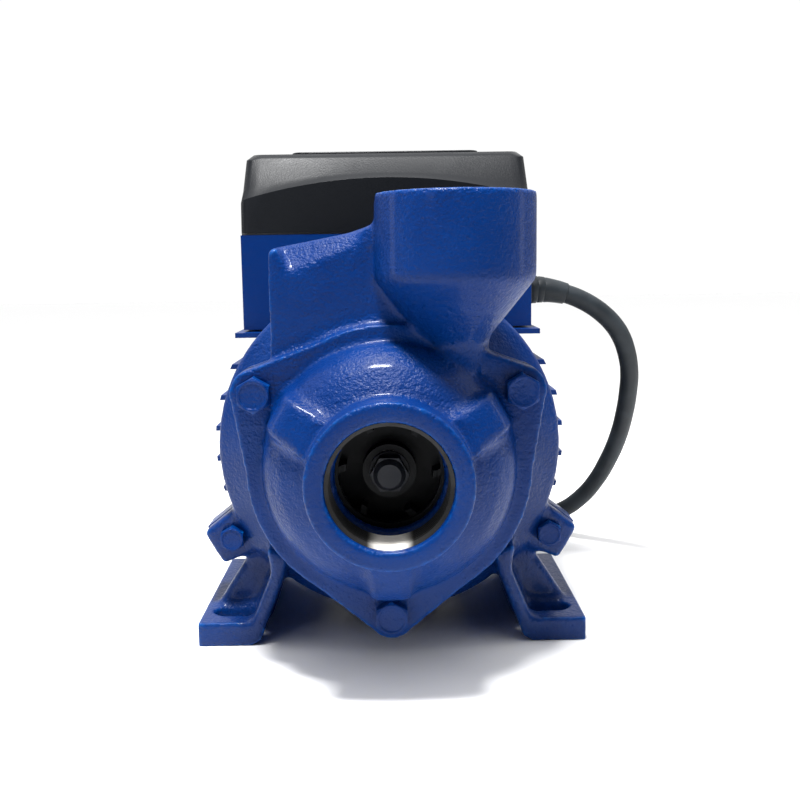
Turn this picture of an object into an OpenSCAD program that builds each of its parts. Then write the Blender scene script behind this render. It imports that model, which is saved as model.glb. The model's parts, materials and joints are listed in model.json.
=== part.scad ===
// Close-coupled centrifugal water pump with a finned single-phase motor.
// Millimetres. The origin lies on the base plane, midway between the two foot slots.
// +X is to the right seen from the suction side, +Y runs back along the shaft, +Z is up.

/* [Frame] */
// Height of the shaft axis above the base plane
shaft_h = 84; // [82:1:88]
// Distance from the suction face back to the foot slots
slot_d = 81; // [79:1:83]
// Width over the two feet
foot_span = 169; // [166:1:172]
// Length of each foot along the shaft
foot_len = 97; // [90:1:100]
// Thickness of the foot plates
foot_t = 10.5; // [9:0.5:12]
// Distance between the two foot slots across the shaft
slot_span = 139; // [137:1:141]
// Width of a foot slot
slot_w = 11; // [9:0.5:12]
// Length of a foot slot, end to end
slot_len = 20; // [18:1:22]

/* [Pump body] */
// Radius of the suction and discharge threads, G 1 1/2 at the crests' roots
port_r = 23.9; // [23:0.1:24]
// Depth of the suction and discharge threads
port_depth = 20; // [16:1:22]
// Outer radius of the suction boss
inlet_r = 31.5; // [30.5:0.5:33]
// Radius of the round part of the body flange
flange_r = 57; // [56:0.5:58]
// Radius of the rounded flange corners
corner_r = 10; // [9:0.5:11]
// Radius of the circle of the three body bolts
body_bolt_pcr = 60.5; // [59.5:0.5:61.5]
// Distance of the discharge axis to the right of the shaft
outlet_x = 27; // [25:0.5:29]
// Outer radius of the discharge boss
outlet_r = 31.5; // [31:0.5:33]
// Height of the discharge face above the shaft axis
outlet_top = 107; // [104:0.5:110]

/* [Motor] */
// Inner radius of the motor barrel
barrel_in_r = 60; // [59:0.5:61]
// Outer radius of the motor barrel without its fins
barrel_r = 66; // [65:0.5:67]
// Radius of the circle that the fin tips reach
fin_tip_r = 79; // [77:0.5:80]
// Distance between neighbouring fins
fin_pitch = 14; // [13:0.5:15]
// Radius of the rotor core
rotor_r = 34.5; // [33:0.5:36]
// Length of the laminated cores
core_len = 70; // [60:1:80]
// Width of the terminal box
box_w = 131; // [128:1:134]
// Length of the terminal box along the shaft
box_len = 100; // [94:1:106]
// Height of the terminal box rim above the shaft axis
box_top = 93.5; // [92:0.5:96]
// Height of the terminal cover
cover_h = 38.5; // [36:0.5:42]

/* [Power cord] */
// Diameter of the power cord
cord_dia = 9.5; // [8:0.5:10]
// Radius of the coil at the middle of its turns
coil_r = 52.5; // [50:0.5:56]

/* [Hidden] */

$fn = 72;
enamel = "mediumblue";
plastic = "darkslategray";
rubber = "black";
steel = "silver";
brass = "goldenrod";
copper = "peru";
aluminium = "lightgray";
gap = 0.05;      // running or locating clearance, on the radius
eps = 0.5;       // overrun of cutting tools

// Stations along the shaft, measured back from the suction face
flange_d = 36;          // front of the body flange
flange_t = 12;          // thickness of the body flange
gasket_t = 0.5;
bracket_d = flange_d + flange_t + gasket_t;   // front of the bracket
bracket_flange_t = 9;
drum_d = 84;            // front of the bracket's motor flange
drum_t = 13;
drum_r = 75.5;
casing_d = drum_d + drum_t;
casing_len = 125;
shield_d = casing_d + casing_len;
shield_t = 12;
fan_d = shield_d + 20;
fan_cover_d = shield_d + 4;
fan_cover_len = 58;
core_d = casing_d + 22;
box_d = 104;            // front of the terminal box
entry_d = 150;          // cord entry in the terminal box, and its height above the shaft
entry_up = 66;
capacitor_x = -33;
foot_d = 65;            // front of the feet
outlet_d = 42;          // discharge axis

// Chamber and body wall
chamber_r = 46;
spigot_len = 3;
rib_w = 17;             // width of the ribs on the front of the body
neck_d = 40.5;          // front of the neck beside the discharge boss
neck_slant = 23;        // slope of the neck's upper front edge
taper_top = 74;         // where the discharge boss starts to taper in, above the shaft
body_bolt_angles = [30, 150, 270];
body_bolt_r = 4;
lug_angles = [-30, 90, 210];
lug_bolt_pcr = 82;
lug_bolt_r = 3;
quarter_angles = [45, 135, 225, 315];
corner_spread = acos((flange_r - corner_r) / body_bolt_pcr);

// Shaft radii
journal_front_r = 8.5;
journal_rear_r = 7.5;
shaft_r = 11;
seal_shaft_r = 7;
impeller_seat_r = 6;
fan_seat_r = 6;
front_bearing_d = 80;
front_bearing_w = 12;
rear_bearing_w = 11;

// Cord
cord_r = cord_dia / 2;
coil_turns_w = 3 * cord_dia;
coil_centre = [-20, 280];
tie_t = 0.8;
cord_route = [
    [73, 69, 150], [79, 69, 149.7], [85, 69, 148.7], [91, 69, 147], [97, 69.1, 144.5], [103, 69.4, 141.1],
    [108.5, 70.1, 137], [113.6, 71.3, 132], [118.2, 73.5, 125.6], [122, 77, 117.2], [124.8, 82, 107],
    [126.2, 88.6, 95], [126.2, 96.4, 81.8], [124.7, 105.3, 67.8], [121.6, 114.9, 53.4], [117, 125.2, 39.4],
    [110.6, 136.6, 26.8], [101.8, 150, 16], [90.3, 164.5, 8.9], [76, 179.5, 5.6], [60, 193, 5],
    [42, 203.7, 5], [22, 211.6, 5.2], [1, 216.8, 5.5], [-20, 218, 5.5]
];
tail_route = [
    [-20, 337, 15.5], [-8, 337, 15], [4, 337, 15], [16, 337, 16], [27, 337, 18], [36, 337, 19]
];
plug_pos = [36, 337, 19];

// ---------------------------------------------------------------- helpers
// Local z runs back along the shaft from station d
module on_shaft(d) {
    translate([0, d - slot_d, shaft_h]) rotate([-90, 0, 0]) children();
}

// Plate from station d to d + t, its outline drawn as seen from the front
module front_plate(d, t) {
    translate([0, d + t - slot_d, shaft_h]) rotate([90, 0, 0]) linear_extrude(t) children();
}

// Point at radius r and angle a of the front view, local z running back from station d
module at_polar(r, a, d) {
    translate([r * cos(a), d - slot_d, shaft_h + r * sin(a)]) rotate([-90, 0, 0]) children();
}

// Box between two corners given as [x, station, height above the shaft]
module shaft_box(low, high) {
    translate([low[0], low[1] - slot_d, low[2] + shaft_h]) cube(high - low);
}

module ring(r_out, r_in, t) {
    rotate_extrude() translate([r_in, 0]) square([r_out - r_in, t]);
}

// Hexagon-head screw, shank along +z from the underside of the head
module hex_screw(af, head_h, shank_r, shank_len) {
    translate([0, 0, -head_h]) rotate(30) cylinder(h = head_h, r = af / 2 / cos(30), $fn = 6);
    translate([0, 0, -0.01]) cylinder(h = shank_len, r = shank_r, $fn = 32);
}

// Pan-head screw with a cross slot, shank along -z
module pan_screw(head_r, head_h, shank_r, shank_len) {
    difference() {
        cylinder(h = head_h, r = head_r, $fn = 32);
        translate([-head_r * 0.6, -0.4, head_h * 0.4]) cube([head_r * 1.2, 0.8, head_h]);
        translate([-0.4, -head_r * 0.6, head_h * 0.4]) cube([0.8, head_r * 1.2, head_h]);
    }
    translate([0, 0, -shank_len]) cylinder(h = shank_len + 0.01, r = shank_r, $fn = 32);
}

function unit(v) = v / norm(v);

// Catmull-Rom point between p[i] and p[i + 1]
function route_at(p, i, t) =
    let (
        a = p[max(i - 1, 0)],
        b = p[i],
        c = p[i + 1],
        d = p[min(i + 2, len(p) - 1)]
    )
    0.5 * (2 * b + (c - a) * t + (2 * a - 5 * b + 4 * c - d) * t * t + (3 * b - a - 3 * c + d) * t * t * t);

function smooth_route(p, steps) = [
    for (i = [0:len(p) - 2]) for (k = [0:steps - 1]) route_at(p, i, k / steps),
    p[len(p) - 1]
];

function tangent_at(p, i) = unit(p[min(i + 1, len(p) - 1)] - p[max(i - 1, 0)]);

// Ring of the tube at point i, turned against a fixed side direction so that it never twists
function tube_ring(p, i, r, sides, side_dir) =
    let (
        t = tangent_at(p, i),
        u = unit(cross(t, side_dir)),
        v = cross(u, t)
    )
    [for (k = [0:sides - 1]) p[i] + r * (cos(360 * k / sides) * u + sin(360 * k / sides) * v)];

// Closed round tube swept along the points p
module tube(p, r, sides, side_dir) {
    n = len(p);
    points = [for (i = [0:n - 1]) each tube_ring(p, i, r, sides, side_dir)];
    walls = [
        for (i = [0:n - 2]) for (k = [0:sides - 1])
            let (next = (k + 1) % sides)
            [i * sides + k, i * sides + next, (i + 1) * sides + next, (i + 1) * sides + k]
    ];
    ends = [
        [for (k = [sides - 1:-1:0]) k],
        [for (k = [0:sides - 1]) (n - 1) * sides + k]
    ];
    polyhedron(points = points, faces = concat(walls, ends), convexity = 8);
}

// ---------------------------------------------------------------- pump end
// Round flange with three corners at the bolts, whose sides start and end just inside the circles
module flange_outline(grow = 0) {
    inner = flange_r + grow - 0.3;
    wide = corner_spread + 5;
    tip = corner_r + grow - 0.15;
    narrow = corner_spread - 8;
    circle(r = flange_r + grow);
    for (a = body_bolt_angles) {
        rotate(a) {
            polygon([
                [0, 0],
                inner * [cos(wide), -sin(wide)],
                [body_bolt_pcr, 0] + tip * [cos(narrow), -sin(narrow)],
                [body_bolt_pcr, 0] + tip * [cos(narrow), sin(narrow)],
                inner * [cos(wide), sin(wide)]
            ]);
            translate([body_bolt_pcr, 0]) circle(r = corner_r + grow);
        }
    }
}

// Volute neck beside the discharge boss, seen from the front
module neck_outline() {
    polygon([[-46, 30], [-46, 85.5], [-44.5, 87], [-29, 89.7], [-15.7, 92.1], [-7.9, 94.6], [10, 98], [46, 98],
        [46, 76], [40, 48], [30, 30]]);
}

module dome_profile() {
    polygon([[0, 0], [inlet_r, 0], [inlet_r, 14], [36, 16.5], [42, 20.5], [46.5, 25.5], [49.5, 31], [50.5, 40],
        [0, 40]]);
}

// Broad rib from the suction boss out to a bolt
module dome_rib() {
    polygon([[26, 9], [33, 11], [47, 17.5], [50.5, 23], [50.5, 40], [26, 40]]);
}

module body_outside() {
    on_shaft(0) rotate_extrude() dome_profile();
    for (a = body_bolt_angles) {
        translate([0, -slot_d, shaft_h]) rotate([0, -a, 0]) translate([0, 0, -rib_w / 2]) linear_extrude(rib_w) dome_rib();
    }
    front_plate(flange_d, flange_t) flange_outline();
    difference() {
        front_plate(neck_d, 24) neck_outline();
        // Slanted front of the neck's upper edge, narrowing towards the discharge boss
        translate([-31.6, neck_d - slot_d, shaft_h + 79.3]) rotate([0, -neck_slant, 0]) rotate([50, 0, 0])
            translate([-7, -2, 0]) cube([32, 20, 12]);
    }
    translate([outlet_x, outlet_d - slot_d, shaft_h]) {
        translate([0, 0, taper_top]) cylinder(h = outlet_top - taper_top, r = outlet_r);
        translate([0, 0, 49]) cylinder(h = taper_top - 49, r1 = 11.5, r2 = outlet_r);
        translate([0, 0, 38]) cylinder(h = 11.5, r = 11.5);
    }
}

module body_inside() {
    on_shaft(0) rotate_extrude() polygon([[0, -eps], [port_r, -eps], [port_r, port_depth], [21, port_depth],
        [21, 25], [38, 28], [chamber_r, 34], [chamber_r, flange_d + flange_t + eps], [0, flange_d + flange_t + eps]]);
    translate([outlet_x, outlet_d - slot_d, shaft_h]) {
        translate([0, 0, outlet_top - port_depth]) cylinder(h = port_depth + eps, r = port_r);
        translate([0, 0, 80]) cylinder(h = outlet_top - port_depth - 80 + 0.01, r = 21);
        translate([0, 0, 56]) cylinder(h = 24.01, r1 = 10, r2 = 21);
        translate([-1, -1.5, 26]) cylinder(h = 31, r = 6.5);
    }
    for (a = body_bolt_angles) {
        at_polar(body_bolt_pcr, a, flange_d - 20) cylinder(h = flange_t + 20 + eps, r = body_bolt_r + 0.4);
    }
    // Spot faces under the bolt heads
    for (a = body_bolt_angles) {
        at_polar(body_bolt_pcr, a, flange_d - 20) cylinder(h = 20.01, r = 9.2);
    }
}

module pump_body() {
    color(enamel) difference() {
        body_outside();
        body_inside();
        // Room for the gasket and the bracket behind the flange
        front_plate(flange_d + flange_t, 40) flange_outline(1);
    }
}

module body_gasket() {
    color(rubber) front_plate(flange_d + flange_t, gasket_t) difference() {
        flange_outline();
        circle(r = chamber_r + 1);
        for (a = body_bolt_angles) rotate(a) translate([body_bolt_pcr, 0]) circle(r = body_bolt_r + 0.5);
    }
}

module body_bolts() {
    color(enamel) for (a = body_bolt_angles) {
        at_polar(body_bolt_pcr, a, flange_d) hex_screw(12.5, 5.5, body_bolt_r, flange_t + gasket_t + 8);
    }
}

// ---------------------------------------------------------------- bracket and feet
module lug_outline() {
    polygon([[60, -13], [92.5, -8.5], [92.5, 8.5], [60, 13]]);
}

// Inner wall, plate and gusset of one foot, seen from the front
module foot_outline() {
    polygon([[55.5, 7], [57, 2.5], [60.5, 0], [foot_span / 2, 0], [foot_span / 2, foot_t], [61, foot_t],
        [52, 32], [54, 44], [44, 40], [46.5, 30]]);
}

module gusset_outline() {
    polygon([[55, 5], [80, 5], [80, foot_t], [66, 32], [64, 60], [40, 60], [46, 30]]);
}

module bracket_profile() {
    polygon([[0, bracket_d], [48, bracket_d], [48, 56], [52, 64], [60, 74], [72, 82], [drum_r, drum_d],
        [drum_r, casing_d], [barrel_in_r - gap, casing_d], [barrel_in_r - gap, casing_d + 3], [0, casing_d + 3]]);
}

// Dry bay behind the seal, and the space around the bearing housing
module bracket_hollow() {
    polygon([[0, 66], [38, 66], [44, 77], [0, 77]]);
    polygon([[26, 81], [55, 83], [57, 86], [57, casing_d + 3.5], [0, casing_d + 3.5], [0, 95], [26, 95]]);
}

module motor_bracket() {
    color(enamel) difference() {
        union() {
            front_plate(bracket_d, bracket_flange_t) flange_outline();
            on_shaft(0) rotate_extrude() bracket_profile();
            on_shaft(bracket_d - spigot_len) cylinder(h = spigot_len + 1, r = chamber_r - gap);
            for (a = lug_angles) front_plate(drum_d + 2, drum_t - 2) rotate(a) lug_outline();
            for (side = [0, 1]) mirror([side, 0, 0]) {
                translate([0, foot_d + foot_len - slot_d, 0]) rotate([90, 0, 0]) linear_extrude(foot_len) foot_outline();
                translate([0, drum_d + drum_t - slot_d, 0]) rotate([90, 0, 0]) linear_extrude(8) gusset_outline();
            }
        }
        // Clear the pump flange's bolt seats and the motor casing behind the drum
        on_shaft(casing_d) cylinder(h = 120, r = fin_tip_r + 1.5);
        // Seal bay, seat bore, shaft passage and bearing seat
        on_shaft(bracket_d - spigot_len - eps) cylinder(h = 12, r = 19);
        on_shaft(50) cylinder(h = 14, r = 15);
        on_shaft(50) cylinder(h = 40, r = 10);
        on_shaft(front_bearing_d) cylinder(h = 30, r = 20 + gap / 2);
        on_shaft(0) rotate_extrude() bracket_hollow();
        for (a = body_bolt_angles) {
            at_polar(body_bolt_pcr, a, bracket_d - eps) cylinder(h = bracket_flange_t + 8, r = body_bolt_r + gap);
        }
        for (a = lug_angles) {
            at_polar(lug_bolt_pcr, a, drum_d - 5) cylinder(h = drum_t + 10, r = lug_bolt_r + 0.3);
        }
        // Drain window under the seal
        shaft_box([-9, 68, -70], [9, 77, -30]);
        for (side = [-1, 1]) translate([side * slot_span / 2, 0, -eps]) {
            linear_extrude(foot_t + 2 * eps) union() {
                square([slot_len - slot_w, slot_w], center = true);
                for (end = [-1, 1]) translate([end * (slot_len - slot_w) / 2, 0]) circle(r = slot_w / 2);
            }
        }
    }
    // Locating ring that carries the motor barrel
    color(enamel) on_shaft(casing_d - 1) ring(barrel_in_r - gap, 57, 4);
}

module bracket_screws() {
    color(enamel) for (a = lug_angles) {
        at_polar(lug_bolt_pcr, a, drum_d + 2) hex_screw(10, 4.5, lug_bolt_r, 22);
    }
}

// ---------------------------------------------------------------- shaft seal
module seal_seat() {
    color("ivory") on_shaft(58.2) ring(12.5, 8, 5.7);
}

module seal_seat_cup() {
    color(rubber) on_shaft(58.2) ring(15 - gap, 12.55, 5.7);
}

module seal_face() {
    color("dimgray") on_shaft(55.15) ring(11.5, seal_shaft_r + 0.5, 3);
}

module seal_bellows() {
    color(rubber) on_shaft(46.1) rotate_extrude()
        polygon([[seal_shaft_r + gap, 0], [12, 0], [12, 1.5], [9.5, 2], [9.5, 7], [11.5, 8], [11.5, 9],
            [seal_shaft_r + gap, 9]]);
}

// Conical spring around the bellows
module seal_spring() {
    turns = 3;
    steps = 14;
    spring_r = 11.4;
    path = [for (i = [0:turns * steps])
        let (a = 360 * i / steps)
        [spring_r * cos(a), spring_r * sin(a), 48.6 + 3.6 * i / (turns * steps)]
    ];
    color(steel) on_shaft(0) tube(path, 0.5, 6, [0, 0, 1]);
}

// ---------------------------------------------------------------- impeller
// One swept vane, its outline between two arcs
module impeller_vane() {
    intersection() {
        difference() {
            translate([14, 20]) circle(r = 26);
            translate([14, 20]) circle(r = 23.5);
        }
        difference() {
            circle(r = 41);
            circle(r = 17);
            translate([-50, -60]) square([100, 60]);
        }
    }
}

// Closed impeller: hub and back plate, six vanes, and a dished front shroud with the eye
module impeller() {
    color(plastic) difference() {
        union() {
            on_shaft(31) cylinder(h = 14, r = 10.5);
            on_shaft(40.5) cylinder(h = 2.5, r = 42);
            on_shaft(0) rotate_extrude() polygon([[20, 27.5], [22.5, 27.5], [23, 29.5], [42, 34], [42, 36], [22, 31.6],
                [20, 31.6]]);
            intersection() {
                for (i = [0:5]) on_shaft(28) rotate(i * 60) linear_extrude(14) impeller_vane();
                on_shaft(0) rotate_extrude() polygon([[10, 30.3], [22, 30.5], [41.5, 35], [41.5, 41.5], [10, 41.5]]);
            }
        }
        on_shaft(20) cylinder(h = 30, r = impeller_seat_r + gap);
        shaft_box([-2.05, 30, 0], [2.05, 42, 8.1]);
    }
}

module impeller_key() {
    color(steel) shaft_box([-2, 32, 3.6], [2, 41, 8]);
}

module impeller_nut() {
    color(steel) on_shaft(23.5) difference() {
        union() {
            cylinder(h = 6.3, r = 6.5 / cos(30), $fn = 6);
            translate([0, 0, -3]) cylinder(h = 3.01, r1 = 4.6, r2 = 6.2);
        }
        translate([0, 0, -1.5]) cylinder(h = 10, r = 4 + gap);
    }
}

module impeller_washer() {
    color(steel) on_shaft(29.8) ring(8, 4 + 2 * gap, 1.2);
}

module slinger() {
    color(rubber) on_shaft(67) rotate_extrude() polygon([[8 + gap, 0], [17, 0.5], [17, 2], [11, 2.5], [11, 5],
        [8 + gap, 5]]);
}

// ---------------------------------------------------------------- rotor
module shaft() {
    color(steel) difference() {
        on_shaft(0) rotate_extrude() polygon([
            [0, 22.2], [3.5, 22.2], [4, 22.8], [4, 31], [impeller_seat_r, 31], [impeller_seat_r, 45],
            [seal_shaft_r, 45], [seal_shaft_r, 66], [8, 66], [8, 79.5], [journal_front_r - gap / 2, 79.5],
            [journal_front_r - gap / 2, front_bearing_d + front_bearing_w],
            [shaft_r, front_bearing_d + front_bearing_w], [shaft_r, shield_d + 0.5],
            [journal_rear_r - gap / 2, shield_d + 0.5], [journal_rear_r - gap / 2, shield_d + 14],
            [fan_seat_r, shield_d + 14], [fan_seat_r, shield_d + 44.5], [5.4, shield_d + 44.5],
            [5.4, shield_d + 45.7], [fan_seat_r, shield_d + 45.7], [fan_seat_r, shield_d + 48],
            [0, shield_d + 48]
        ]);
        shaft_box([-2.05, 31.9, 3.5], [2.05, 41.1, 8.1]);
    }
}

module rotor_core() {
    color(steel) on_shaft(core_d) difference() {
        cylinder(h = core_len, r = rotor_r);
        translate([0, 0, -eps]) cylinder(h = core_len + 2 * eps, r = shaft_r + gap / 2);
        for (i = [0:21]) rotate(i * 360 / 22) translate([rotor_r - 5, 0, -eps]) cylinder(h = core_len + 1, r = 1.6, $fn = 16);
    }
}

// Cast cage: two end rings joined by bars through the core
module rotor_end_rings() {
    color(aluminium) {
        on_shaft(core_d - 6) ring(rotor_r - 2, 20, 6);
        on_shaft(core_d + core_len) ring(rotor_r - 2, 20, 6);
        for (i = [0:21]) on_shaft(core_d - 1) rotate(i * 360 / 22) translate([rotor_r - 5, 0, 0])
            cylinder(h = core_len + 2, r = 1.5, $fn = 16);
    }
}

// ---------------------------------------------------------------- bearings
module bearing_outer(r_out, pitch_r, ball_r, w) {
    rotate_extrude() difference() {
        translate([pitch_r + ball_r * 0.55, 0]) square([r_out - pitch_r - ball_r * 0.55, w]);
        translate([pitch_r, w / 2]) circle(r = ball_r + gap);
    }
}

module bearing_inner(r_in, pitch_r, ball_r, w) {
    rotate_extrude() difference() {
        translate([r_in, 0]) square([pitch_r - ball_r * 0.55 - r_in, w]);
        translate([pitch_r, w / 2]) circle(r = ball_r + gap);
    }
}

// Balls with the cage that spaces them
module bearing_balls(pitch_r, ball_r, w, count) {
    cage_w = 2 * ball_r + 1.8;
    for (i = [0:count - 1]) rotate(i * 360 / count) translate([pitch_r, 0, w / 2]) sphere(r = ball_r);
    difference() {
        translate([0, 0, (w - cage_w) / 2]) ring(pitch_r + 0.7, pitch_r - 0.7, cage_w);
        for (i = [0:count - 1]) rotate(i * 360 / count) translate([pitch_r - 2, 0, w / 2]) rotate([0, 90, 0])
            cylinder(h = 4, r = ball_r + gap);
    }
}

module front_bearing_outer() {
    color(steel) on_shaft(front_bearing_d) bearing_outer(20, 14.25, 3.37, front_bearing_w);
}

module front_bearing_inner() {
    color(steel) on_shaft(front_bearing_d) bearing_inner(journal_front_r, 14.25, 3.37, front_bearing_w);
}

module front_bearing_balls() {
    color(steel) on_shaft(front_bearing_d) bearing_balls(14.25, 3.37, front_bearing_w, 8);
}

module rear_bearing_outer() {
    color(steel) on_shaft(shield_d + 1) bearing_outer(17.5, 12.5, 3, rear_bearing_w);
}

module rear_bearing_inner() {
    color(steel) on_shaft(shield_d + 1) bearing_inner(journal_rear_r, 12.5, 3, rear_bearing_w);
}

module rear_bearing_balls() {
    color(steel) on_shaft(shield_d + 1) bearing_balls(12.5, 3, rear_bearing_w, 8);
}

module preload_washer() {
    color(steel) on_shaft(shield_d + 1 + rear_bearing_w) ring(17, 13.5, 0.8);
}

// ---------------------------------------------------------------- motor
// Horizontal fins at the sides and upright fins below, cut to one round envelope
module fin_outline() {
    intersection() {
        circle(r = fin_tip_r);
        union() {
            for (k = [-3:2]) translate([-90, (k + 0.5) * fin_pitch - 1.1]) square([180, 2.2]);
            for (k = [-3:2]) translate([(k + 0.5) * fin_pitch - 1.1, -90]) square([2.2, 60]);
        }
    }
    translate([-68.5, 3.5 * fin_pitch - 1.1]) square([137, 2.2]);
}

module box_outside() {
    shaft_box([-box_w / 2, box_d, 51], [box_w / 2, box_d + box_len, box_top]);
}

module box_inside() {
    difference() {
        shaft_box([-box_w / 2 + 4, box_d + 4, 55], [box_w / 2 - 4, box_d + box_len - 4, box_top + eps]);
        on_shaft(box_d) cylinder(h = box_len, r = barrel_r);
    }
}

cover_screw_inset = 26;
cover_screw_spots = [for (x = [-1, 1]) for (end = [0, 1])
    [x * 57, box_d + cover_screw_inset + end * (box_len - 2 * cover_screw_inset)]];

module motor_casing() {
    color(enamel) difference() {
        union() {
            on_shaft(casing_d) cylinder(h = casing_len, r = barrel_r);
            front_plate(casing_d, casing_len) fin_outline();
            front_plate(casing_d, 16) rotate(lug_angles[0]) lug_outline();
            front_plate(casing_d, 16) rotate(lug_angles[2]) lug_outline();
            front_plate(casing_d, box_d - casing_d + 1) translate([-11, 50]) square([22, 42]);
            difference() {
                box_outside();
                box_inside();
            }
            for (s = cover_screw_spots) translate([s[0], s[1] - slot_d, shaft_h + 70]) cylinder(h = box_top - 70, r = 4.8);
            // Ledges for the terminal block and the capacitor clip
            shaft_box([6, 122, 50], [42, 136, 72.5]);
            shaft_box([-62, 142, 53], [-50, 154, 68]);
        }
        on_shaft(casing_d - eps) cylinder(h = casing_len + 2 * eps, r = barrel_in_r);
        for (a = lug_angles) at_polar(lug_bolt_pcr, a, casing_d - eps) cylinder(h = 14, r = lug_bolt_r + gap);
        for (s = cover_screw_spots) {
            translate([s[0], s[1] - slot_d, shaft_h + box_top - 14]) cylinder(h = 15, r = 2 + gap);
        }
        // Cable entry, winding lead hole, earth screw hole and shield screw holes
        translate([0, entry_d - slot_d, shaft_h + entry_up]) rotate([0, 90, 0]) cylinder(h = 90, r = 7.5);
        translate([14, box_d + 8 - slot_d, shaft_h + 50]) cylinder(h = 30, r = 4);
        translate([46, 180 - slot_d, shaft_h + 45]) cylinder(h = 20, r = 2.5 + gap);
        for (a = quarter_angles) at_polar(63, a + 12, shield_d - 14) cylinder(h = 15, r = 2 + gap);
    }
}

stator_slots = 24;
slot_in_r = rotor_r + 2.5;
slot_out_r = 50;

module stator_core() {
    color("slategray") on_shaft(core_d) difference() {
        cylinder(h = core_len, r = barrel_in_r - gap);
        translate([0, 0, -eps]) cylinder(h = core_len + 2 * eps, r = rotor_r + 0.35);
        for (i = [0:stator_slots - 1]) rotate(i * 360 / stator_slots) {
            translate([slot_in_r, -2.6, -eps]) cube([slot_out_r - slot_in_r, 5.2, core_len + 2 * eps]);
        }
    }
}

// Coil sides in the slots, joined by the bound end turns
module stator_winding() {
    color(copper) {
        for (i = [0:stator_slots - 1]) on_shaft(core_d - 2) rotate(i * 360 / stator_slots) {
            translate([slot_in_r + 0.2, -2.4, 0]) cube([slot_out_r - slot_in_r - 0.4, 4.8, core_len + 4]);
        }
        for (d = [core_d - 16, core_d + core_len + 0.5]) on_shaft(d) rotate_extrude()
            polygon([[40, 0], [52, 0], [55, 4], [55, 12], [52, 15.5], [38, 15.5], [37.5, 4]]);
    }
}

module motor_leads() {
    color("firebrick") for (x = [11.6, 14, 16.4]) {
        translate([x, box_d + 8 - slot_d, shaft_h + 55]) cylinder(h = 17.5, r = 1.1, $fn = 16);
    }
}

module rear_shield() {
    color(enamel) difference() {
        union() {
            on_shaft(shield_d) cylinder(h = 5, r = 74);
            on_shaft(shield_d) cylinder(h = shield_t + 2, r = 23);
            on_shaft(shield_d - 3) ring(barrel_in_r - gap, 55, 4);
            for (i = [0:5]) front_plate(shield_d + 4.9, 6) rotate(i * 60) translate([20, -2]) square([34, 4]);
            // Lugs that hold the fan cover
            for (a = quarter_angles) at_quarter(a, 66) translate([-6.5, -8, 0]) cube([13, 13, 8]);
        }
        on_shaft(shield_d - eps) cylinder(h = 0.5 + rear_bearing_w + 2, r = 17.5 + gap / 2);
        on_shaft(shield_d - eps) cylinder(h = 30, r = 10);
        for (a = quarter_angles) at_polar(63, a + 12, shield_d - eps) cylinder(h = 8, r = 2.3);
        for (a = quarter_angles) at_quarter(a, 60) cylinder(h = 40, r = 1.5 + gap);
    }
}

module shield_screws() {
    color(steel) for (a = quarter_angles) at_polar(63, a + 12, shield_d + 5) pan_screw(4, 2.4, 2, 14);
}

module fan() {
    color(plastic) on_shaft(fan_d) difference() {
        union() {
            cylinder(h = 22, r = 11);
            translate([0, 0, 2]) cylinder(h = 2.5, r = 58);
            for (i = [0:8]) rotate(i * 40) translate([9, -1, 2]) cube([49, 2, 18]);
        }
        translate([0, 0, -eps]) cylinder(h = 23, r = fan_seat_r + gap);
    }
}

module fan_clip() {
    color(steel) on_shaft(shield_d + 44.6) difference() {
        ring(8.5, 5.45, 1);
        translate([-1.5, 0, -eps]) cube([3, 12, 2]);
    }
}

// Shell with a slotted back, screwed to the lugs of the rear shield
module fan_cover() {
    grille_z = fan_cover_len - 3;
    color(plastic) difference() {
        on_shaft(fan_cover_d) {
            rotate_extrude() polygon([[74.5, 0], [77, 0], [77, 44], [74, 51], [68, 56], [64, fan_cover_len],
                [60, fan_cover_len], [60, grille_z], [64, grille_z], [72, 48], [74.5, 43]]);
            for (r = [18, 30, 42, 54]) translate([0, 0, grille_z]) ring(r + 2, r - 2, 3);
            translate([0, 0, grille_z]) cylinder(h = 3, r = 9);
            for (i = [0:11]) rotate(i * 30) translate([8, -1.5, grille_z]) cube([54, 3, 3]);
        }
        for (a = quarter_angles) at_quarter(a, 60) cylinder(h = 40, r = 1.8);
    }
}

// Point on the fan cover's screw circle at radius r, local z pointing outwards
module at_quarter(a, r) {
    translate([0, fan_cover_d + 7.5 - slot_d, shaft_h]) rotate([0, a, 0]) translate([r, 0, 0]) rotate([0, 90, 0]) children();
}

module fan_cover_screws() {
    color(steel) for (a = quarter_angles) at_quarter(a, 77) pan_screw(3.6, 2, 1.5, 8);
}

// ---------------------------------------------------------------- terminal box
module terminal_gasket() {
    color(rubber) difference() {
        shaft_box([-box_w / 2 + 0.5, box_d + 0.5, box_top], [box_w / 2 - 0.5, box_d + box_len - 0.5, box_top + 1]);
        shaft_box([-box_w / 2 + 8, box_d + 14, box_top - eps], [box_w / 2 - 8, box_d + box_len - 14, box_top + 1 + eps]);
        for (s = cover_screw_spots) translate([s[0], s[1] - slot_d, shaft_h + box_top - 1]) cylinder(h = 3, r = 2.4);
    }
}

cover_z = box_top + 1;
cover_top = box_top + cover_h;

module cover_front_outline(inset) {
    polygon([[-box_w / 2 + inset, cover_z - eps * inset], [-box_w / 2 + inset, cover_z + 12],
        [-box_w / 2 + 5.5 + inset, cover_top - 4 - inset], [-box_w / 2 + 9.5 + inset, cover_top - 1.5 - inset],
        [box_w / 2 - 9.5 - inset, cover_top - 1.5 - inset], [box_w / 2 - 5.5 - inset, cover_top - 4 - inset],
        [box_w / 2 - inset, cover_z + 12], [box_w / 2 - inset, cover_z - eps * inset]]);
}

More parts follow.
